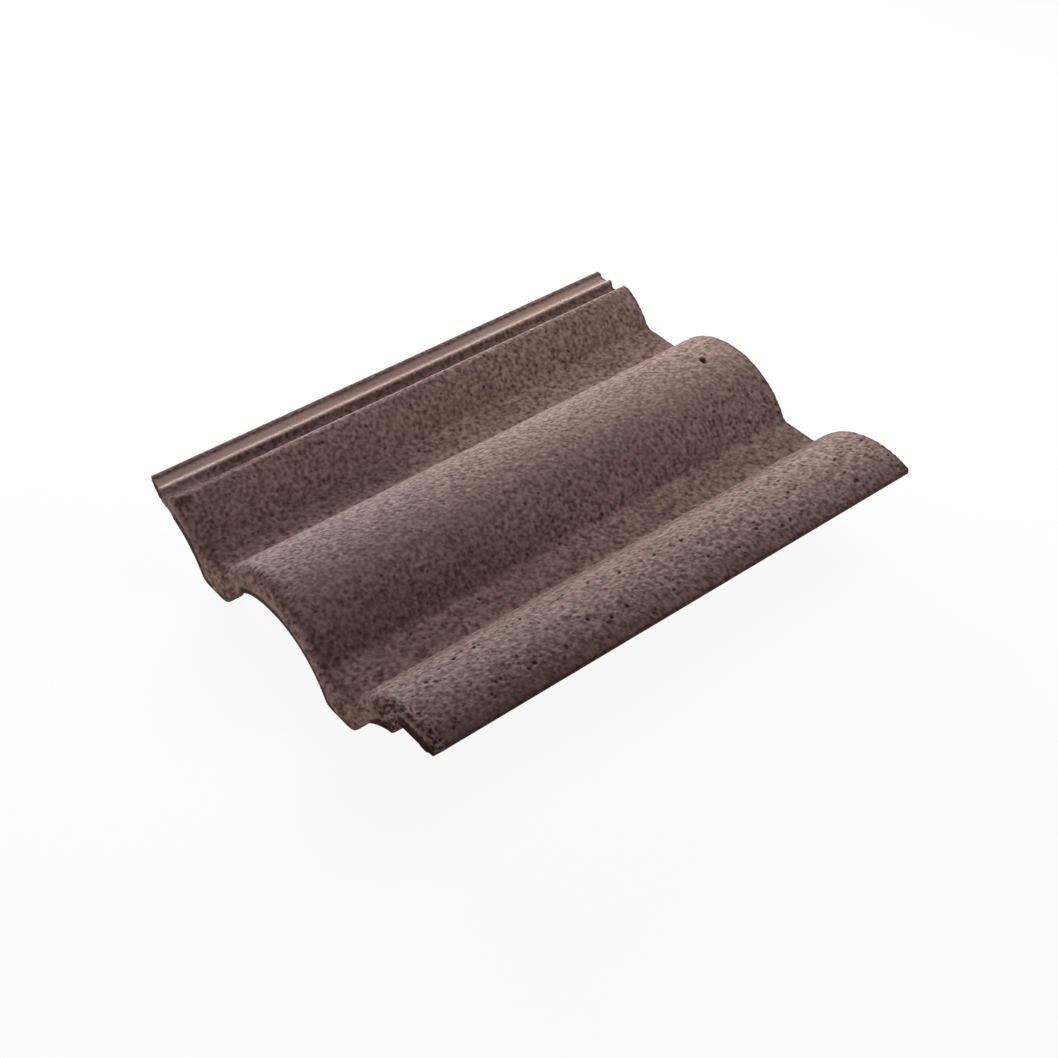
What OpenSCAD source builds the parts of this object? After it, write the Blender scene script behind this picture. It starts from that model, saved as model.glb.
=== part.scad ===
// Interlocking double-roll concrete roof tile, one extruded piece.
// The tile lies with its head towards +Y and its tail towards -Y. The lock that the left
// neighbour covers is on -X, and the roll that laps over the right neighbour's lock is on +X.
// The origin is under the middle of the tile, on the plane that its bars and nibs stand on.

/* [Tile] */
// Length from tail to head
tile_l = 420; // [380:1:450]
// Width that one tile covers on the roof, two rolls and two pans
cover_w = 300; // [280:1:330]
// Thickness of the tile's body
body_t = 12; // [10:0.5:14]

/* [Rolls] */
// Width of a roll between the pans beside it
roll_w = 118; // [105:1:128]
// Height of a roll above the pans
roll_h = 35; // [31:0.5:40]
// Radius of the hollow where a roll runs into a pan
foot_r = 6; // [3:0.5:8]

/* [Shoulder] */
// How much wider the left pan, beside the shoulder's flank, is than the pan between the rolls
left_pan_extra = 2.5; // [0:0.5:6]
// Radius of the flank that rises from the left pan to the shoulder
flank_r = 50; // [43:1:56]
// Height above the pans that the flank's full circle would reach
flank_h = 27.5; // [26:0.5:32]
// Height of the shoulder above the pans
shoulder_h = 24.2; // [22:0.2:26]
// Width of the flat on top of the shoulder
shoulder_w = 1.5; // [0.5:0.5:6]
// Radius of the shoulder's arrises
arris_r = 4; // [2.5:0.5:5]

/* [Side lock] */
// Height of the lock's ribs above the pans
lock_h = 20.5; // [18:0.5:22]
// Width of the rib along the left edge
edge_rib_w = 4.5; // [2.5:0.5:6]
// Width of the outer water channel's floor
channel_w = 6.5; // [5:0.5:9]
// Depth of the outer water channel
channel_d = 3; // [2:0.5:4]
// Width of the rib between the channels
mid_rib_w = 2.5; // [1.5:0.5:4]
// Width of the inner water channel's floor
groove_w = 9; // [7:0.5:12]
// Depth of the inner water channel
groove_d = 5.5; // [4:0.5:6.5]
// Thickness of the left edge
lip_t = 5; // [4:0.5:7]
// Height of the lock's underside above the pans
lock_floor_h = 9; // [7:0.5:10]
// Length of the corner cut off the lock's tail
corner_cut = 4.5; // [2:0.5:12]

/* [Lapping edge] */
// How far the lapping edge reaches over the neighbour's shoulder
lap_over = 3; // [1.5:0.5:5]
// Gap between the lapping edge and the neighbour's shoulder below it
lap_gap = 0.5; // [0.3:0.1:1.5]
// Gap beside the neighbour's shoulder and left edge
side_gap = 2; // [1:0.5:3]
// Gap over the neighbour's ribs
rib_gap = 4; // [1.5:0.5:5]
// Width of the rib that hangs over the neighbour's inner channel
hook_w = 7; // [5:0.5:8]
// Depth of that rib under the lapping edge
hook_d = 1.5; // [1:0.5:4]

/* [Underside] */
// Depth of the weather bars and nibs under the pans
bar_h = 17.5; // [15:0.5:21]
// Thickness of a weather bar along the tile
bar_t = 14; // [8:0.5:20]
// Number of weather bars across the tail
bars = 2; // [1:1:3]
// Distance from one weather bar to the next
bar_step = 40; // [30:1:60]
// Gap between a weather bar and the crown of the roll that it stands over
arch_gap = 4.5; // [2:0.5:6]
// Radius of the bars' feet beside the arches
bar_round = 8.5; // [3:0.5:10]
// Width of a hanging nib
nib_w = 36; // [25:1:42]
// Thickness of a nib's foot along the tile
nib_t = 12; // [8:1:18]
// Distance from the head to the nibs' batten face
nib_set = 32; // [28:1:60]

/* [Nail hole] */
// Diameter of the nail hole
nail_d = 5; // [4:0.5:7]
// Distance from the head to the nail hole
nail_set = 30.5; // [20:0.5:60]
// Distance of the nail hole from the middle of the centre roll, towards the lock
nail_side = 2.5; // [0:0.5:10]

/* [Hidden] */

// Run of a moulded wall for each millimetre of its height
draft = 0.35;
// Depth to which a bar or nib is rooted in the body
root = body_t / 3;
// Turn of one straight stretch of an arc
arc_step = 4;
nail_sides = 48;
half_turn = 180;
quarter_turn = 90;
three_quarter_turn = 270;
full_turn = 360;

tail_y = -tile_l / 2;
head_y = tile_l / 2;
pan_z = bar_h + body_t;
pitch = cover_w / 2;
right_pan_w = pitch - roll_w;
left_pan_w = right_pan_w + left_pan_extra;

// Across the tile, x is measured from the crown of the centre roll until the tile is placed.

// Half the width of a circle of radius r at some height above or below its centre
function half_chord(r, rise) = sqrt(r * r - rise * rise);

// Radius of the arc that rises h over a width w
function rise_radius(w, h) = (w * w / 4 + h * h) / (2 * h);

// Points of an arc from one angle to another, both ends included
function arc(x, z, r, from, to) =
    let (steps = ceil(abs(to - from) / arc_step))
    [for (i = [0:steps]) let (a = from + (to - from) * i / steps) [x + r * cos(a), z + r * sin(a)]];

// A foot is a hollow of radius f between a level at height h and a roll of radius r about
// [x, z]. It meets the roll at this angle, and its own centre lies this far from x.
function foot_angle(r, z, f, h) = asin((h + f - z) / (r + f));
function foot_reach(r, z, f, h) = half_chord(r + f, h + f - z);

// The hollow at a roll's right or left foot, laid t deeper in the body
function right_foot(x, r, z, f, h, t) = arc(x + foot_reach(r, z, f, h), h + f, f + t,
    half_turn + foot_angle(r, z, f, h), three_quarter_turn);
function left_foot(x, r, z, f, h, t) = arc(x - foot_reach(r, z, f, h), h + f, f + t,
    three_quarter_turn, full_turn - foot_angle(r, z, f, h));

// The two rolls
roll_r = rise_radius(roll_w, roll_h);
roll_z = pan_z + roll_h - roll_r;
roll_foot = foot_angle(roll_r, roll_z, foot_r, pan_z);

// The flank beside the left pan, and the shoulder that it carries
flank_z = pan_z + flank_h - flank_r;
flank_x = -roll_w / 2 - left_pan_w - half_chord(flank_r, pan_z - flank_z);
flank_foot = foot_angle(flank_r, flank_z, foot_r, pan_z);
shoulder_z = pan_z + shoulder_h;
arris_z = shoulder_z - arris_r;
arris_x = flank_x + half_chord(flank_r - arris_r, arris_z - flank_z);
arris_end = asin((arris_z - flank_z) / (flank_r - arris_r));
shoulder_x = arris_x - shoulder_w - arris_r;

// Ribs and channels of the lock, from the shoulder out to the left edge
rib_z = pan_z + lock_h;
channel_z = rib_z - channel_d;
groove_z = rib_z - groove_d;
groove_end = shoulder_x - draft * (arris_z - groove_z);
groove_x = groove_end - groove_w;
mid_rib_end = groove_x - draft * groove_d;
mid_rib_x = mid_rib_end - mid_rib_w;
channel_end = mid_rib_x - channel_d;
channel_x = channel_end - channel_w;
edge_rib_end = channel_x - draft * channel_d;
left_x = edge_rib_end - edge_rib_w;

// The lapping edge, set by the lock and shoulder of a neighbour one cover width away
right_x = shoulder_x + cover_w + lap_over;
lap_end = acos((right_x - pitch) / roll_r);
flange_z = shoulder_z + lap_gap;
flange_x = shoulder_x + cover_w - side_gap;
hook_z = flange_z - hook_d;
hook_end = (groove_x + groove_end) / 2 + cover_w + hook_w / 2;
hook_x = hook_end - hook_w;
recess_z = rib_z + rib_gap;
recess_end = hook_x - draft * (recess_z - hook_z);
recess_x = left_x + cover_w - side_gap;
centre_x = (left_x + right_x) / 2;

// The wave from the flank's foot to the left foot of the lapping roll, at depth t in the body
function wave(t) = concat(
    right_foot(flank_x, flank_r, flank_z, foot_r, pan_z, t),
    left_foot(0, roll_r, roll_z, foot_r, pan_z, t),
    arc(0, roll_z, roll_r - t, half_turn - roll_foot, roll_foot),
    right_foot(0, roll_r, roll_z, foot_r, pan_z, t),
    left_foot(pitch, roll_r, roll_z, foot_r, pan_z, t));

lock_top = [
    [left_x, rib_z], [edge_rib_end, rib_z],
    [channel_x, channel_z], [channel_end, channel_z],
    [mid_rib_x, rib_z], [mid_rib_end, rib_z],
    [groove_x, groove_z], [groove_end, groove_z]];

top_line = concat(
    lock_top,
    arc(shoulder_x + arris_r, arris_z, arris_r, half_turn, quarter_turn),
    arc(arris_x, arris_z, arris_r, quarter_turn, arris_end),
    arc(flank_x, flank_z, flank_r, arris_end, flank_foot),
    wave(0),
    arc(pitch, roll_z, roll_r, half_turn - roll_foot, lap_end));

// Underside of the lock and the flank; the lock's floor runs in until it meets the flank
lock_floor_z = pan_z + lock_floor_h;
flank_start = asin((lock_floor_z - flank_z) / (flank_r - body_t));
lock_underside = concat(
    [[left_x, rib_z - lip_t], [channel_x, lock_floor_z + channel_d], [channel_end, lock_floor_z]],
    arc(flank_x, flank_z, flank_r - body_t, flank_start, flank_foot));

// Underside of the lapping roll: recess, hook rib and flange
inner_r = roll_r - body_t;
lap_underside = concat(
    arc(pitch, roll_z, inner_r, half_turn - roll_foot, acos((recess_x - pitch) / inner_r)),
    [[recess_x, recess_z], [recess_end, recess_z], [hook_x, hook_z], [hook_end, hook_z],
     [flange_x, flange_z], [right_x, flange_z]]);

bottom_line = concat(lock_underside, wave(body_t), lap_underside);

// Lower outline of a weather bar: feet in the pans, and arches over the rolls of the tile below
arch_r = rise_radius(roll_w, roll_h + arch_gap);
arch_z = roll_h + arch_gap - arch_r;
arch_foot = foot_angle(arch_r, arch_z, bar_round, 0);
// Height of the bar's left end, below the shoulder, where its arch runs out under the lock
bar_start_h = max(lock_floor_z - arch_z - half_chord(arch_r, shoulder_x + pitch), 0);
bar_start = shoulder_x + draft * bar_start_h;
bar_end = recess_x - draft * bar_h;
bar_line = concat(
    arc(-pitch, arch_z, arch_r, acos((bar_start + pitch) / arch_r), arch_foot),
    right_foot(-pitch, arch_r, arch_z, bar_round, 0, 0),
    left_foot(0, arch_r, arch_z, bar_round, 0, 0),
    arc(0, arch_z, arch_r, half_turn - arch_foot, arch_foot),
    right_foot(0, arch_r, arch_z, bar_round, 0, 0),
    left_foot(pitch, arch_r, arch_z, bar_round, 0, 0),
    arc(pitch, arch_z, arch_r, half_turn - arch_foot, acos((bar_end - pitch) / arch_r)));

function reversed(points) = [for (i = [len(points) - 1:-1:0]) points[i]];

// Lays a cross-section across the tile and runs it from y towards the head
module along(y, length) {
    translate([-centre_x, y + length, 0]) rotate([90, 0, 0]) linear_extrude(length) children();
}

module body() {
    along(tail_y, tile_l) polygon(concat(top_line, reversed(bottom_line)));
}

// Weather bar, rooted in the body along its underside
module weather_bar(y) {
    roots = concat([[shoulder_x, lock_floor_z + root]],
        [for (p = bottom_line) if (p[0] > shoulder_x && p[0] < recess_x) p + [0, root]]);
    along(y, bar_t) polygon(concat(roots, reversed(bar_line)));
}

// Hanging nib under a pan, with its upright batten face towards the tail
module nib(x) {
    nib_z = pan_z - body_t + root;
    translate([x - centre_x - nib_w / 2, head_y - nib_set, 0]) rotate([90, 0, 90])
        linear_extrude(nib_w)
            polygon([[0, 0], [nib_t, 0], [nib_t + draft * nib_z, nib_z], [0, nib_z]]);
}

// Slanting cut across the tail of the lock
module lock_corner() {
    translate([-centre_x, tail_y, -1]) linear_extrude(rib_z + roll_h)
        polygon([[left_x - 1, -1], [shoulder_x, -1], [shoulder_x, 0],
            [left_x, corner_cut], [left_x - 1, corner_cut]]);
}

module nail_hole() {
    translate([-centre_x - nail_side, head_y - nail_set, pan_z])
        cylinder(h = 2 * roll_h, d = nail_d, $fn = nail_sides);
}

module roof_tile() {
    color("#6c5955") difference() {
        union() {
            body();
            for (k = [0:bars - 1]) weather_bar(tail_y + k * bar_step);
            nib(-(roll_w + left_pan_w) / 2);
            nib((roll_w + right_pan_w) / 2);
        }
        lock_corner();
        nail_hole();
    }
}

roof_tile();
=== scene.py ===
import math
import random
from collections import namedtuple

import bpy
import numpy as np
from mathutils import Matrix, Vector
from mathutils.bvhtree import BVHTree
from mathutils.kdtree import KDTree


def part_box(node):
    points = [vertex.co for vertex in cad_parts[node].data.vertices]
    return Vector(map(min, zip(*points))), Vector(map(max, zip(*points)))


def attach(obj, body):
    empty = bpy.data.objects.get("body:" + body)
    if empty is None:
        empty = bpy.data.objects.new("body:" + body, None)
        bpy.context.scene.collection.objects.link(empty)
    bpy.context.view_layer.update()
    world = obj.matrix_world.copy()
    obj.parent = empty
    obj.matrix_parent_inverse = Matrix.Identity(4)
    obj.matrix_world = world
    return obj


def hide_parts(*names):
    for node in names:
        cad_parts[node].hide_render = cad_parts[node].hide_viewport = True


MM = 0.001

# Places on the tile, in millimetres across it from its middle
LEFT_EDGE, RIGHT_EDGE = -166.0, 166.0
MID_RIB = -150.4            # middle of the rib between the two water channels
SHOULDER = -136.35          # left side of the shoulder
CENTRE_CROWN = (-42, 25)    # the centre roll's crown at the tail
RIGHT_PAN = 55              # where the pan between the rolls begins
LAP_FOOT = 104.0            # where the lapping roll begins
LAP_CROWN = (112, 156)
NAIL_HOLE = (-12.3, 179.5)  # across and along the tile

# Mesh
GRID = 0.9 * MM             # spacing of the fine mesh before it is thinned
TRIANGLES = 196000          # the most that the finished tile may have
WELD = 0.001 * MM
GROUP_STEPS = 16            # steps that the weights of a vertex group are rounded to
SECTION_STEP = 0.5          # millimetres between the points of the tile's section
ABOVE = 200 * MM            # a height clear of the whole tile

# The tail, as the knife and the mould leave it
TAIL_ROUND = 7.0 * MM       # radius of its rolled top edge
SHARP_SHARE = 0.2           # share of that radius at the left of the shoulder
SHARP_WIDTH = 9.0           # millimetres over which the radius grows to its full size
EDGE_ROUNDS, FOOT_ROUNDS = 14, 40   # rounds of smoothing on its lower edge and on the bar's feet
LOWER_EDGE = (11, 17)       # millimetres of shade over that edge, and under the left flank

# The grain
GRAIN = 3.0 * MM            # width of the sandy lumps
GRAIN_DEPTH = 0.65 * MM
RAGGED = 4.5 * MM           # width of the tears on the cut tail
RAGGED_DEPTH = 2.8 * MM
JAG = 20.0                  # millimetres that the torn part's edge wanders

# Air holes, in millimetres
AIR_HOLES = 380
HOLES_ACROSS, HOLES_ALONG = (-128, 163), (-203, 205)
SMALLEST_HOLE = 0.55        # radius
IN_A_CLUSTER = 0.10         # how likely another hole is beside the last one
DRAG_MARKS = 26
SOFT_RIM = 0.5              # width of the shade around a hole
FULL_SHADE = 1.1            # radius from which a hole is dark all over

AirHole = namedtuple("AirHole", "place out radius depth turn stretch")


def linear(code):
    """An sRGB hex colour as linear red, green, blue and alpha."""
    parts = [int(code[i:i + 2], 16) / 255 for i in (1, 3, 5)]
    return [c / 12.92 if c <= 0.04045 else ((c + 0.055) / 1.055) ** 2.4 for c in parts] + [1.0]


def only(obj):
    """Selects one object and nothing else."""
    bpy.ops.object.select_all(action="DESELECT")
    bpy.context.view_layer.objects.active = obj
    obj.select_set(True)


def finish_modifier(obj, kind, **settings):
    """Adds one modifier with its settings and applies it."""
    modifier = obj.modifiers.new(kind.lower(), kind)
    for name, value in settings.items():
        setattr(modifier, name, value)
    only(obj)
    bpy.ops.object.modifier_apply(modifier=modifier.name)


def corners(obj):
    """The places of a mesh's vertices as an array."""
    places = np.empty(len(obj.data.vertices) * 3, np.float32)
    obj.data.vertices.foreach_get("co", places)
    return places.reshape(-1, 3)


def facings(obj):
    """The directions that a mesh's vertices face as an array."""
    normals = np.empty(len(obj.data.vertices) * 3, np.float32)
    obj.data.vertices.foreach_get("normal", normals)
    return normals.reshape(-1, 3)


def put_back(obj, places):
    """Moves a mesh's vertices to their new places."""
    obj.data.vertices.foreach_set("co", places.ravel())
    obj.data.update()


def keep(obj, name, values):
    """Keeps one value for each vertex, for the material."""
    obj.data.attributes.new(name, "FLOAT", "POINT").data.foreach_set("value", values)


def near_finder(places, chosen):
    """A tree that finds the chosen places that are near a point."""
    tree = KDTree(len(chosen))
    for i in chosen:
        tree.insert(places[i], int(i))
    tree.balance()
    return tree


def weigh(obj, name, weights):
    """A vertex group whose weights are rounded to a few steps."""
    group = obj.vertex_groups.new(name=name)
    level = np.clip(np.round(weights * GROUP_STEPS), 0, GROUP_STEPS).astype(int)
    for k in range(1, GROUP_STEPS + 1):
        chosen = np.flatnonzero(level == k)
        if len(chosen):
            group.add(chosen.tolist(), k / GROUP_STEPS, "REPLACE")


# ---------------------------------------------------------------- the tile

def merged_copy(node, name):
    """A copy of the tile's solid, its loose triangles joined."""
    tile = bpy.data.objects.new(name, node.data.copy())
    bpy.context.scene.collection.objects.link(tile)
    tile.data.materials.clear()
    only(tile)
    bpy.ops.object.mode_set(mode="EDIT")
    bpy.ops.mesh.select_all(action="SELECT")
    bpy.ops.mesh.remove_doubles(threshold=WELD)
    bpy.ops.object.mode_set(mode="OBJECT")
    return tile


def top_at(plain, x, y):
    """The place on top of the plain tile at x and y millimetres, and the way it faces."""
    place, facing, _, _ = plain.ray_cast(Vector((x * MM, y * MM, ABOVE)), Vector((0, 0, -1)))
    return place, facing


def top_line(plain):
    """The top of the tile's section as places (x, z) and the directions they face."""
    places, ways = [], []
    for x in np.arange(LEFT_EDGE, RIGHT_EDGE + SECTION_STEP / 2, SECTION_STEP).tolist():
        place, facing = top_at(plain, x, 0)
        places.append((place.x, place.z))
        ways.append((facing.x, facing.z))
    return np.array(places), np.array(ways)


def round_tail_edge(tile, plain, tail_y):
    """Rolls the tail's top edge over in a quarter circle, as the knife leaves it in the wet mix."""
    spots, ways = top_line(plain)
    places = corners(tile)
    for i in np.flatnonzero(places[:, 1] < tail_y + TAIL_ROUND):
        x, y, z = places[i].tolist()
        off = spots - (x, z)
        k = int((off ** 2).sum(1).argmin())
        deep = max(float(off[k] @ ways[k]), 0.0)
        grown = min(max((x / MM - SHOULDER) / SHARP_WIDTH, 0), 1)
        radius = TAIL_ROUND * (SHARP_SHARE + (1 - SHARP_SHARE) * grown)
        u, v = radius - (y - tail_y), radius - deep
        far = math.hypot(u, v)
        if u > 0 and v > 0 and far > radius:
            sink = radius * (1 - v / far) - deep
            rolled = tail_y + radius * (1 - u / far)
            places[i] = (x - ways[k][0] * sink, rolled, z - ways[k][1] * sink)
    put_back(tile, places)


def soften(tile, name, weights, rounds):
    """Softens the edges in one place, as the mould leaves them."""
    weigh(tile, name, weights)
    finish_modifier(tile, "SMOOTH", factor=0.5, iterations=rounds, vertex_group=name)


def soften_tail(tile, tail_y):
    """The lower edge of the tail, and the feet of the weather bar behind it."""
    places = corners(tile)
    behind = (places[:, 1] - tail_y) / MM
    right = np.clip((places[:, 0] / MM - SHOULDER + 8) / 8, 0, 1)   # the lock stays sharp
    soften(tile, "tail_edge", np.clip(1 - behind / 6, 0, 1) * right, EDGE_ROUNDS)
    low = np.clip((44 - places[:, 2] / MM) / 8, 0, 1) * right       # up to 44 mm, fading from 36
    soften(tile, "bar_feet", np.clip((25 - behind) / 6, 0, 1) * low, FOOT_ROUNDS)


def displace(tile, name, size, depth, group, direction, level, noise_depth):
    """Pushes the surface by a cloud pattern, where the vertex group says."""
    texture = bpy.data.textures.new(name, "CLOUDS")
    texture.noise_scale = size
    texture.noise_depth = noise_depth
    finish_modifier(
        tile, "DISPLACE", texture=texture, texture_coords="LOCAL", direction=direction,
        strength=depth, mid_level=level, vertex_group=group)


def roughen(tile, tail_y):
    """Sandy lumps on top, most on the lapping roll, and a torn edge on the roll's tail."""
    places, normals = corners(tile), facings(tile)
    x, behind = places[:, 0] / MM, (places[:, 1] - tail_y) / MM
    lap = np.clip((x - LAP_FOOT) / 12, 0, 1)
    # what faces up, but the first 10 mm from the tail are smeared smoother
    up = np.clip((normals[:, 2] + 0.1) / 0.4, 0.06, 1) * np.clip(0.4 + 0.06 * behind + lap, 0, 1)
    # the last 5 mm of the tail and its face
    nose = np.clip(1 - behind / 5, 0, 1) * (normals[:, 2] > -0.3)
    rough = np.maximum(up, (0.3 + 0.5 * lap) * nose) * (1 + 0.35 * lap) / 1.35
    # the lock is rubbed smooth, and the feet stand flat on the ground
    rough *= np.where(x < MID_RIB, 0.15, np.where(x < SHOULDER + 4, 0.55, 1.0))
    rough *= np.clip(places[:, 2] / MM, 0, 1)
    weigh(tile, "rough", rough)
    weigh(tile, "torn", nose * (0.08 + 0.92 * lap))
    displace(tile, "torn_cut", RAGGED, RAGGED_DEPTH, "torn", "Y", 0.0, 1)
    displace(tile, "sandy_lumps", GRAIN, GRAIN_DEPTH, "rough", "NORMAL", 1.0, 0)
    tile.vertex_groups.clear()


def air_hole(plain, draw, x, y, radius, stretch, turn):
    """One oval air hole in the top at x and y millimetres."""
    place, out = top_at(plain, x, y)
    depth = radius * draw.uniform(0.7, 1.1)
    return AirHole(place, out, radius * MM, depth * MM, turn, stretch)


def scattered_holes(plain, draw):
    """A few air holes everywhere on top, most of them on the lapping roll, some in clusters."""
    holes = []
    while len(holes) < AIR_HOLES:
        x, y = draw.uniform(*HOLES_ACROSS), draw.uniform(*HOLES_ALONG)
        share = 1.0 if x > LAP_FOOT else 0.25 if x > RIGHT_PAN else 0.08
        if draw.random() > share:
            continue
        radius = SMALLEST_HOLE + (0.3 + 0.5 * share) * draw.random() ** 3
        stretch, turn = draw.uniform(1.0, 1.8), draw.uniform(0, math.pi)
        holes.append(air_hole(plain, draw, x, y, radius, stretch, turn))
        while draw.random() < IN_A_CLUSTER * share and abs(y) < 195 and x < 158:
            x, y = x + draw.uniform(-4, 4), y + draw.uniform(-4, 4)
            smaller = radius * draw.uniform(0.6, 0.9)
            holes.append(air_hole(plain, draw, x, y, smaller, stretch=1.2, turn=0.0))
    return holes


def nail_hole_chip(plain, draw):
    """The chip that the punch left beside the nail hole."""
    x, y = NAIL_HOLE
    return air_hole(plain, draw, x + 2.7, y - 1.0, radius=2.0, stretch=1.3, turn=0.3)


def drag_marks(plain, draw, tail_y):
    """Short marks that the knife dragged into the tail of both rolls."""
    marks = []
    for _ in range(DRAG_MARKS):
        x = draw.uniform(*(CENTRE_CROWN if draw.random() < 0.65 else LAP_CROWN))
        y = tail_y / MM + draw.uniform(2, 11)
        radius, stretch = draw.uniform(0.5, 0.75), draw.uniform(1.8, 3.2)
        marks.append(air_hole(plain, draw, x, y, radius, stretch, math.pi / 2))
    return marks


def across_hole(hole, place):
    """How far a place lies from the middle of an air hole, in the hole's oval."""
    off = place - hole.place
    off -= hole.out * off.dot(hole.out)
    a = off.dot(Vector((math.cos(hole.turn), math.sin(hole.turn), 0)))
    b = math.sqrt(max(off.length_squared - a * a, 0.0))
    return math.hypot(a / hole.stretch, b)


def sink_pits(tile, holes):
    """Presses each air hole into the mesh, an oval bowl with a soft rim."""
    places = corners(tile)
    finder = near_finder(places, range(len(places)))
    for hole in holes:
        for place, i, _ in finder.find_range(hole.place, hole.radius * hole.stretch + 2 * MM):
            r = across_hole(hole, place) / hole.radius
            if r < 1:
                places[i] -= np.array(hole.out, np.float32) * (hole.depth * (1 - r * r) ** 1.5)
    put_back(tile, places)


def note_pits(tile, holes):
    """Keeps how deep in an air hole each vertex lies, from 0 to 1."""
    places = corners(tile)
    finder = near_finder(places, range(len(places)))
    shade = np.zeros(len(places), np.float32)
    for hole in holes:
        reach = hole.radius * hole.stretch + 0.8 * MM + hole.depth
        strength = min(1.0, hole.radius / (FULL_SHADE * MM))
        for place, i, _ in finder.find_range(hole.place - hole.out * hole.depth * 0.5, reach):
            r = across_hole(hole, place) / (hole.radius + SOFT_RIM * MM)
            shade[i] = max(shade[i], min(1.0, 1.6 * (1 - r)) * strength)
    keep(tile, "pit", shade)


def note_lower_edge(tile, tail_y):
    """Keeps how near the tail's face is to its lower edge for the painted shade there, 1 at the
    edge, but not inside the arches.
    """
    places, normals = corners(tile), facings(tile)
    height, flank_height = LOWER_EDGE
    behind = places[:, 1] - tail_y
    below = (normals[:, 1] > -0.5) & (normals[:, 2] < -0.08)
    finder = near_finder(places, np.flatnonzero((abs(behind - 5 * MM) < 4 * MM) & below))
    shade = np.zeros(len(places), np.float32)
    for i in np.flatnonzero((behind < 4 * MM) & (normals[:, 1] < -0.3)):
        _, j, far = finder.find(places[i])
        outside = min(max(0.5 - (normals[j, 0] + 0.8 * normals[j, 2]) / 0.4, 0), 1)
        reach = float(np.interp(places[i, 0], (-110 * MM, -85 * MM), (flank_height, height)))
        shade[i] = outside * max(0.0, 1 - far / (reach * MM))
    keep(tile, "lower_edge", shade)


def make_tile(node):
    """A fine mesh of the tile with its worn edges, sandy lumps, tears and air holes."""
    tail_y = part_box("roof_tile")[0].y
    tile = merged_copy(node, "concrete_tile")
    plain = BVHTree.FromObject(tile, bpy.context.evaluated_depsgraph_get())
    finish_modifier(tile, "REMESH", mode="VOXEL", voxel_size=GRID, use_smooth_shade=True)
    round_tail_edge(tile, plain, tail_y)
    soften_tail(tile, tail_y)

    draw = random.Random(7)
    holes = scattered_holes(plain, draw)
    holes.append(nail_hole_chip(plain, draw))
    holes += drag_marks(plain, draw, tail_y)
    sink_pits(tile, holes)
    roughen(tile, tail_y)

    finish_modifier(tile, "DECIMATE", ratio=TRIANGLES / (2 * len(tile.data.polygons)))
    note_pits(tile, holes)
    note_lower_edge(tile, tail_y)
    only(tile)
    bpy.ops.object.shade_smooth()
    return tile


# ---------------------------------------------------------------- the material

LAP_FADE = (100.0, 116.0)   # millimetres across, where the lapping roll's coarser look sets in
SHOULDER_LINE_SPAN = (-60.0, -150.0)     # millimetres along, where the painted highlight and shade at the shoulder's edge move in towards the tail
DRAG_LEAN = 0.707           # radians that the knife's drag leans, about 40 degrees
DRAG_STRETCH = 2.0          # how much longer than wide it leaves the grains
PAINTED_SHADE = "#3a2725"            # painted shade in the creases, on slopes away from the light and in the shoulder's shadow

# What the colours of the concrete go by: a point's place in metres and in millimetres across,
# along and up, the way it faces, and the direction in which the knife dragged the tail
Point = namedtuple("Point", "here across along up faces_x faces_y faces_z drag")


def add(tree, kind, inputs=None, **settings):
    """One shader node with its settings; an input is a value or another node's output."""
    node = tree.nodes.new("ShaderNode" + kind)
    for name, value in settings.items():
        setattr(node, name, value)
    for key, value in (inputs or {}).items():
        if isinstance(value, bpy.types.NodeSocket):
            tree.links.new(value, node.inputs[key])
        else:
            node.inputs[key].default_value = value
    return node


def per_metre(mm):
    """The scale of a pattern whose cells are so many millimetres wide."""
    return 1000.0 / mm


def where_all(tree, *ramps):
    """How far all of the ramps hold at a point.

    A ramp is a value, the two ends that it is read between, and what it gives at each end,
    which is 0 and 1 unless it says so.
    """
    held = None
    for value, start, end, *gives in ramps:
        low, high = gives or (0.0, 1.0)
        ramp = add(tree, "MapRange", {0: value, 1: start, 2: end, 3: low, 4: high}).outputs[0]
        held = ramp if held is None else add(
            tree, "Math", {0: held, 1: ramp}, operation="MULTIPLY").outputs[0]
    return held


def tint(tree, body, colour, *ramps):
    """Lays a colour over the body where all of the ramps hold."""
    under, over = (linear(c) if isinstance(c, str) else c for c in (body, colour))
    laid = add(tree, "Mix", {0: where_all(tree, *ramps), 6: under, 7: over}, data_type="RGBA")
    return laid.outputs[2]


def sand(tree, at, *grains):
    """Sand of several grain widths in millimetres, summed by their shares."""
    total = None
    for mm, share in grains:
        look = {"Vector": at, "Scale": per_metre(mm), "Detail": 0.0, "Roughness": 0.5}
        part = add(tree, "Math", {0: add(tree, "TexNoise", look).outputs["Fac"], 1: share},
                   operation="MULTIPLY").outputs[0]
        total = part if total is None else add(tree, "Math", {0: total, 1: part}).outputs[0]
    return total


def read_point(tree):
    """The nodes that say where a point of the tile is and the way it faces."""
    here = add(tree, "TexCoord").outputs["Object"]
    in_mm = add(tree, "VectorMath", {0: here, "Scale": 1000.0}, operation="SCALE").outputs[0]
    place = add(tree, "SeparateXYZ", {0: in_mm}).outputs
    facing = add(tree, "SeparateXYZ", {0: add(tree, "NewGeometry").outputs["Normal"]}).outputs
    slant = {"Vector": here, "Rotation": (0.0, DRAG_LEAN, 0.0), "Scale": (1.0, 1.0, DRAG_STRETCH)}
    drag = add(tree, "Mapping", slant, vector_type="TEXTURE").outputs[0]
    return Point(here, place[0], place[1], place[2], facing[0], facing[1], facing[2], drag)


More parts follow.
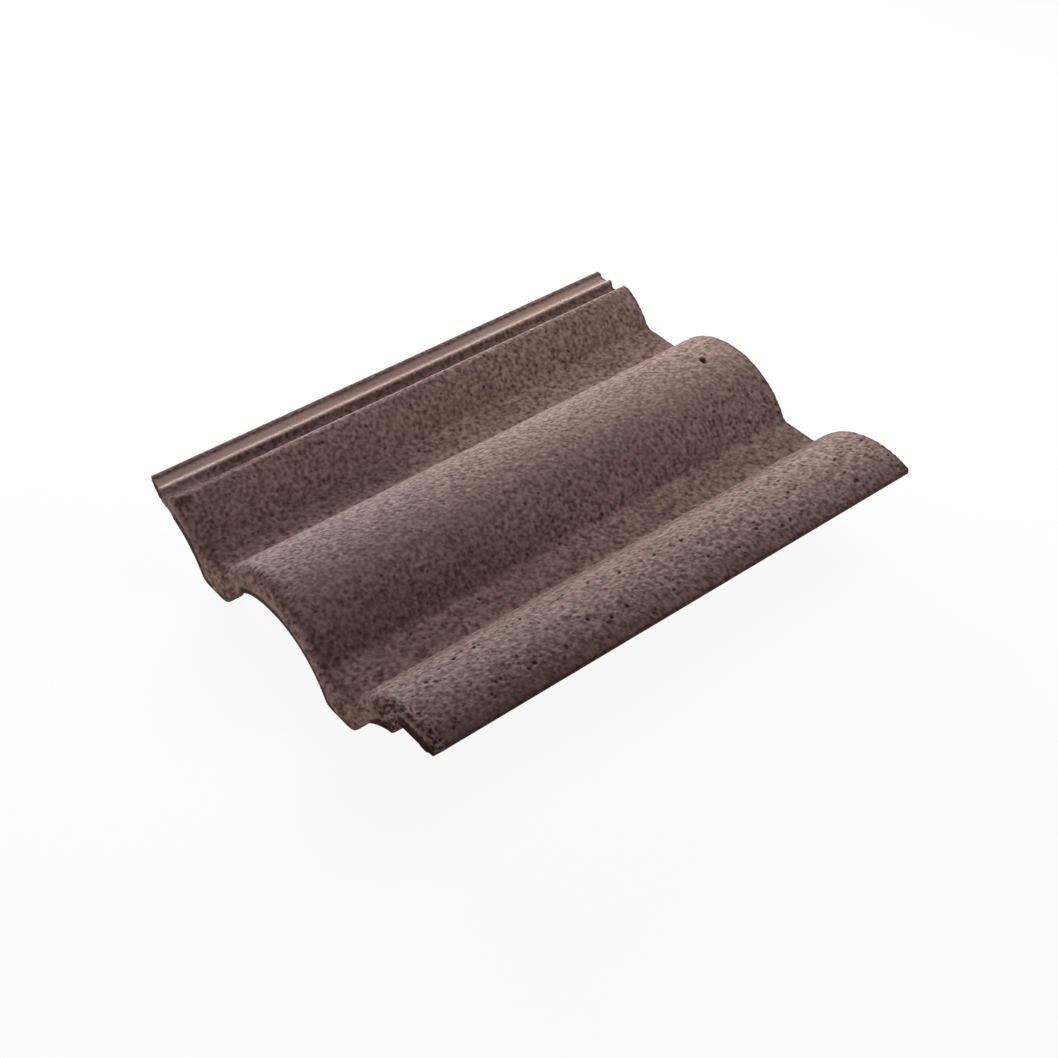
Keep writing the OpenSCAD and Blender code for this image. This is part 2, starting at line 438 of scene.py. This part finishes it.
def sandy_body(tree, point):
    """Sand lumps about 4 mm apart, finer sand between them, and cloudy patches of 60 mm."""
    crumbs = add(tree, "TexVoronoi", {"Vector": point.here, "Scale": per_metre(4.2)})
    lumps = where_all(tree, (crumbs.outputs["Distance"], 0.10, 0.85, 0.0, 0.25))
    finer = sand(tree, point.here, (3.1, 0.60), (1.7, 0.15))
    tone = add(tree, "Math", {0: lumps, 1: finer}).outputs[0]
    darkest = where_all(tree, (point.across, *LAP_FADE, 0.28, 0.31))
    palest = where_all(tree, (point.across, *LAP_FADE, 0.72, 0.69))
    body = tint(tree, "#573934", "#a48b85", (tone, darkest, palest))
    clouds = add(tree, "TexNoise", {"Vector": point.here, "Scale": per_metre(60.0), "Detail": 3.0})
    return tint(tree, body, "#705652", (clouds.outputs["Fac"], 0.35, 0.65, 0.0, 0.25))


def single_grains(tree, body, point):
    """Single pale and dark grains, more of the dark ones on the lapping roll."""
    cells = add(tree, "TexVoronoi", {"Vector": point.here, "Scale": per_metre(4.5)})
    kind = add(tree, "SeparateColor", {0: cells.outputs["Color"]}).outputs
    core = (cells.outputs["Distance"], 0.34, 0.16)
    body = tint(tree, body, "#b09a92", core, (kind[0], 0.91, 0.94, 0.0, 0.6))
    fewest = where_all(tree, (point.across, *LAP_FADE, 0.90, 0.70))
    more = where_all(tree, (point.along, -198.0, -203.0, 0.0, 0.12))
    limit = add(tree, "Math", {0: fewest, 1: more}, operation="SUBTRACT").outputs[0]
    dark = add(tree, "Math", {0: kind[1], 1: limit}, operation="GREATER_THAN").outputs[0]
    return tint(tree, body, "#2b1a16", core, (dark, 0.0, 1.0, 0.0, 0.75))


def lock_wear_and_painted_light(tree, body, point):
    """The lock: rubbed pale where tiles slide on each other, with painted light on its channel
    floor, rib and shoulder edge, and painted shade in the inner channel and left of the shoulder.
    """
    across, along, up = point.across, point.along, point.up
    not_left = (point.faces_x, -0.75, -0.45, 0.3, 1.0)

    # the outer channel's floor, smeared along the tile, rubbed pale with painted light where the
    # outer rib's shadow falls
    drawn = add(tree, "Mapping", {"Vector": point.here, "Scale": (1.0, 0.06, 1.0)}).outputs[0]
    smear = add(tree, "TexNoise", {"Vector": drawn, "Scale": per_metre(9.0), "Detail": 3.0,
                                   "Roughness": 0.6}).outputs["Fac"]
    lip = tint(tree, "#947c76", "#baa19c", (smear, 0.3, 0.7))
    body = tint(tree, body, lip, (across, -162.2, -161.2), (across, -150.4, -151.4), not_left,
                (point.faces_z, 0.1, 0.4))

    # a painted highlight on the shoulder's edge, further in towards the tail, and a painted shade
    # line left of it
    further = where_all(tree, (along, *SHOULDER_LINE_SPAN, 0.0, 3.2))
    edge_line_across = add(tree, "Math", {0: across, 1: further}, operation="SUBTRACT").outputs[0]
    body = tint(tree, body, "#a98c85", (edge_line_across, -136.4, -135.4), (edge_line_across, -132.6, -133.8),
                (up, 50.5, 52.5, 0.0, 0.45))
    body = tint(tree, body, "#452e2a", (across, -137.2, -136.4), (edge_line_across, -135.6, -136.6),
                (along, *SHOULDER_LINE_SPAN, 0.5, 0.8))

    # the top of the middle rib, rubbed pale, with a painted highlight line that is palest at the
    # tail
    body = tint(tree, body, "#c9b2ac", (across, -156.8, -154.5), (across, -148.8, -149.8),
                (up, 44.0, 45.5), (point.faces_y, -0.7, -0.4), (point.faces_y, 0.7, 0.4),
                not_left, (along, 50.0, -190.0, 0.50, 0.95))

    # the inner channel: painted shade along its length, smeared paler with painted light at the
    # tail; the outer rib darker
    channel = ((across, -149.0, -148.4), (across, -136.2, -137.0))
    body = tint(tree, body, "#382420", *channel, (along, -180.0, -150.0, 0.0, 0.45))
    body = tint(tree, body, "#c0aaa3", *channel, (along, -165.0, -192.0, 0.0, 0.2))
    return tint(tree, body, "#3c2823", (across, -161.6, -162.4, 0.0, 0.6))


def painted_shade_and_light(tree, body, point):
    """Painted shade and shadow low on the slopes and in the creases, painted light on the centre
    roll's crown.
    """
    across, along = point.across, point.along
    body = tint(tree, body, "#d8c4be", (across, 98.0, 106.0, 0.0, 0.06))
    # painted shade down the lapping roll's right side, which faces away from the light
    body = tint(tree, body, "#451f18", (across, 150.0, 166.0, 0.0, 0.4))

    # painted shade: the shoulder's shadow on the tail of the left pan, the lapping roll's lower
    # side, the centre roll's right foot
    body = tint(tree, body, PAINTED_SHADE, (across, -107.0, -99.0), (across, -68.0, -82.0),
                (along, 0.0, -60.0, 0.0, 0.38))
    to_tail = (along, 0.0, -120.0, 0.0, 0.22)
    body = tint(tree, body, PAINTED_SHADE, (across, 130.0, 144.0), to_tail)
    body = tint(tree, body, PAINTED_SHADE, (across, 26.0, 36.0), (across, 52.0, 48.0), to_tail)

    # painted light on the crown of the centre roll, painted shade in the two creases at the rolls'
    # left feet, the head's edge darker
    body = tint(tree, body, "#b9a099", (across, -28.0, -12.0), (across, 24.0, 8.0, 0.0, 0.2))
    body = tint(tree, body, PAINTED_SHADE, (across, -60.0, -56.0), (across, -48.0, -52.0, 0.0, 0.16))
    body = tint(tree, body, PAINTED_SHADE, (across, 90.0, 93.0), (across, 102.0, 99.0, 0.0, 0.28))
    return tint(tree, body, "#2b1a17", (along, 207.2, 208.8, 0.0, 0.6))


def cut_tail(tree, body, point):
    """The cut tail: browner where the knife smeared it, and torn on the lapping roll."""
    across, along = point.across, point.along
    grit = sand(tree, point.drag, (2.9, 0.7), (1.6, 0.3))
    cut = tint(tree, "#5a3d38", "#ab8f88", (grit, 0.32, 0.68))
    patches = add(tree, "TexNoise", {"Vector": point.here, "Scale": per_metre(8.0), "Detail": 1.0})
    cut = tint(tree, cut, "#937a72", (patches.outputs["Fac"], 0.45, 0.65, 0.0, 0.25))
    body = tint(tree, body, cut, (along, -203.0, -206.0), (point.faces_y, -0.55, -0.85),
                (across, -118.0, -90.0, 0.3, 1.0))

    tears = sand(tree, point.drag, (2.4, 1.0))
    torn = tint(tree, "#301a16", "#a0857e", (tears, 0.45, 0.64))
    jag = add(tree, "Math", {0: grit, 1: JAG}, operation="MULTIPLY").outputs[0]
    jagged = add(tree, "Math", {0: along, 1: jag}).outputs[0]
    return tint(tree, body, torn, (jagged, -188.0, -194.0, 0.0, 0.85), (across, *LAP_FADE))


def tail_edges(tree, body, point):
    """Painted shade on the tail's lower edge with a painted highlight line over it, painted light
    on the arches' walls, the corner.
    """
    across, along = point.across, point.along
    lower = add(tree, "Attribute", attribute_name="lower_edge").outputs["Fac"]
    # the painted highlight where the rolled nose catches the light, over the painted shade of the
    # lower edge
    body = tint(tree, body, "#ab988f", (lower, 0.10, 0.25, 0.0, 0.3), (lower, 0.50, 0.40))
    body = tint(tree, body, "#2e1915", (lower, 0.42, 0.56, 0.0, 0.85))
    # painted light on the arches' walls, which stand in shade
    body = tint(tree, body, "#bda79c", (point.faces_z, -0.05, -0.25), (along, -190.0, -195.0),
                (point.faces_y, -0.6, -0.3, 0.0, 0.7))

    # a darker spot on the tail's face right of the shoulder, and a painted highlight on its corner
    body = tint(tree, body, "#2e1814", (across, -132.0, -129.5), (across, -122.0, -125.5),
                (along, -195.0, -200.0, 0.0, 0.65), (point.faces_y, -0.75, -0.50))
    return tint(tree, body, "#ac9389", (across, -149.0, -147.8), (across, -128.5, -130.5),
                (point.up, 37.0, 41.0), (point.faces_y, -0.45, -0.70, 0.0, 0.5))


def fine_relief(tree, point):
    """Relief of single grains under 3 mm, smeared flatter on the tail."""
    grains = sand(tree, point.here, (2.6, 0.8), (1.4, 0.2))
    kept = where_all(tree, (point.along, -207.5, -200.0, 0.3, 1.0))
    height = add(tree, "Math", {0: grains, 1: kept}, operation="MULTIPLY").outputs[0]
    bump = add(tree, "Bump", {"Strength": 0.8, "Distance": 1.2 * MM, "Height": height})
    return bump.outputs[0]


def tile_concrete():
    """Through-coloured concrete, pressed wet from a nozzle onto a mould and left sandy.

    The nozzle leaves coarse sand standing out of the cement, so the eye sees a dull red-brown
    with pale and dark grains of 2 to 5 mm and hardly any gloss.
    """
    material = bpy.data.materials.new("extruded_concrete_sandy")
    material.use_nodes = True
    tree = material.node_tree
    tree.nodes.clear()
    point = read_point(tree)
    body = sandy_body(tree, point)
    for colour_layer in (single_grains, lock_wear_and_painted_light, painted_shade_and_light, cut_tail, tail_edges):
        body = colour_layer(tree, body, point)

    # dirt and shade in the air holes
    pit = add(tree, "Attribute", attribute_name="pit").outputs["Fac"]
    body = tint(tree, body, "#2a1713", (pit, 0.1, 0.7, 0.0, 0.85))

    shader = add(tree, "BsdfPrincipled", {
        "Base Color": body, "Roughness": 0.85, "Diffuse Roughness": 0.8, "IOR": 1.5,
        "Specular IOR Level": 0.12, "Normal": fine_relief(tree, point)})
    add(tree, "OutputMaterial", {"Surface": shader.outputs[0]})
    return material


# ---------------------------------------------------------------- the stage

FLOOR_SIZE = 8.0            # metres
ALWAYS_WHITE = 0.93         # share of the paper's white that no shadow darkens
CAMERA_PLACE = (0.72849, -0.61273, 0.85539)
CAMERA_TURN, CAMERA_DOWN, CAMERA_ROLL = 49.850, 41.869, 1.1232   # degrees


def seen_rays(tree):
    """1 for rays that the eye follows: straight, by reflection or through glass."""
    rays = add(tree, "LightPath").outputs
    seen = rays["Is Camera Ray"]
    for kind in ("Is Glossy Ray", "Is Transmission Ray"):
        seen = add(tree, "Math", {0: seen, 1: rays[kind]}, operation="MAXIMUM").outputs[0]
    return seen


def floor_paper():
    """White paper: it stays white to the eye and takes a soft share of the tile's shadow."""
    material = bpy.data.materials.new("white_paper_sweep")
    material.use_nodes = True
    tree = material.node_tree
    tree.nodes.clear()
    paper = add(tree, "BsdfDiffuse", {"Color": linear("#dadada")})
    white = add(tree, "Emission", {"Color": linear("#ffffff"), "Strength": 1.0})
    share = add(tree, "Math", {0: seen_rays(tree), 1: ALWAYS_WHITE}, operation="MULTIPLY")
    both = add(tree, "MixShader", {0: share.outputs[0], 1: paper.outputs[0], 2: white.outputs[0]})
    add(tree, "OutputMaterial", {"Surface": both.outputs[0]})
    return material


def make_floor():
    """A sheet of the paper under the tile."""
    bpy.ops.object.select_all(action="DESELECT")
    bpy.ops.mesh.primitive_plane_add(size=FLOOR_SIZE)
    floor = bpy.context.object
    floor.name = "floor"
    floor.data.materials.append(floor_paper())


def make_world():
    """A white room to the eye, and a dim reddish fill light on the tile."""
    world = bpy.data.worlds.new("studio_air")
    bpy.context.scene.world = world
    world.use_nodes = True
    tree = world.node_tree
    tree.nodes.clear()
    dim = add(tree, "Background", {"Color": linear("#ffdad7"), "Strength": 0.06})
    white = add(tree, "Background", {"Color": linear("#ffffff"), "Strength": 1.0})
    both = add(tree, "MixShader", {0: seen_rays(tree), 1: dim.outputs[0], 2: white.outputs[0]})
    add(tree, "OutputWorld", {"Surface": both.outputs[0]})


def make_lamp(name, azimuth, elevation, distance, size, power, colour):
    """A square soft box that looks at the tile."""
    data = bpy.data.lights.new(name, "AREA")
    data.shape = "SQUARE"
    data.size = size
    data.energy = power
    data.color = linear(colour)[:3]
    lamp = bpy.data.objects.new(name, data)
    bpy.context.scene.collection.objects.link(lamp)
    a, e = math.radians(azimuth), math.radians(elevation)
    back = Vector((math.cos(a) * math.cos(e), math.sin(a) * math.cos(e), math.sin(e)))
    lamp.location = back * distance
    lamp.rotation_mode = "QUATERNION"
    lamp.rotation_quaternion = back.to_track_quat("Z", "Y")


def make_lamps():
    """A low lamp beyond the lock, a weaker one over the head and a wide fill before the tail."""
    make_lamp("side_softbox", azimuth=168, elevation=14, distance=1.1,
              size=0.6, power=32.8, colour="#f8fcfb")
    make_lamp("back_softbox", azimuth=92, elevation=45, distance=1.0,
              size=0.5, power=9.2, colour="#fbfcfb")
    make_lamp("front_fill", azimuth=268, elevation=22, distance=1.5,
              size=0.9, power=5.6, colour="#fff8f6")


def make_camera():
    """A 60 mm lens, 1.3 m away, a little turned about its own axis."""
    turned, down = math.radians(CAMERA_TURN), math.radians(CAMERA_DOWN)
    rolled = math.radians(CAMERA_ROLL)
    ahead = Vector((-math.sin(turned) * math.cos(down), math.cos(turned) * math.cos(down),
                    -math.sin(down)))
    level = Vector((math.cos(turned), math.sin(turned), 0))
    right = level * math.cos(rolled) + level.cross(ahead) * math.sin(rolled)
    data = bpy.data.cameras.new("camera")
    data.sensor_width = 36.0
    data.lens = 60.317
    camera = bpy.data.objects.new("camera", data)
    bpy.context.scene.collection.objects.link(camera)
    view = Matrix((right, right.cross(ahead), -ahead)).transposed().to_4x4()
    camera.matrix_world = Matrix.Translation(CAMERA_PLACE) @ view
    bpy.context.scene.camera = camera


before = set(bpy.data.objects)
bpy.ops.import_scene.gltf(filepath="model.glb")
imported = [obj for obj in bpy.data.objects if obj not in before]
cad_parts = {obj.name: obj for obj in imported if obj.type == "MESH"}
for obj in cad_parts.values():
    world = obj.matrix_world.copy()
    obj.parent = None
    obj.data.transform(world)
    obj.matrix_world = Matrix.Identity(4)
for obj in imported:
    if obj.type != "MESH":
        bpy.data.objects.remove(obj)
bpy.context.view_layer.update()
bpy.context.scene.view_settings.view_transform = "Standard"

make_camera()
make_world()
make_lamps()
make_floor()

tile = make_tile(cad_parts["roof_tile"])
tile.data.materials.append(tile_concrete())
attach(tile, "root")
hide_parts("roof_tile")
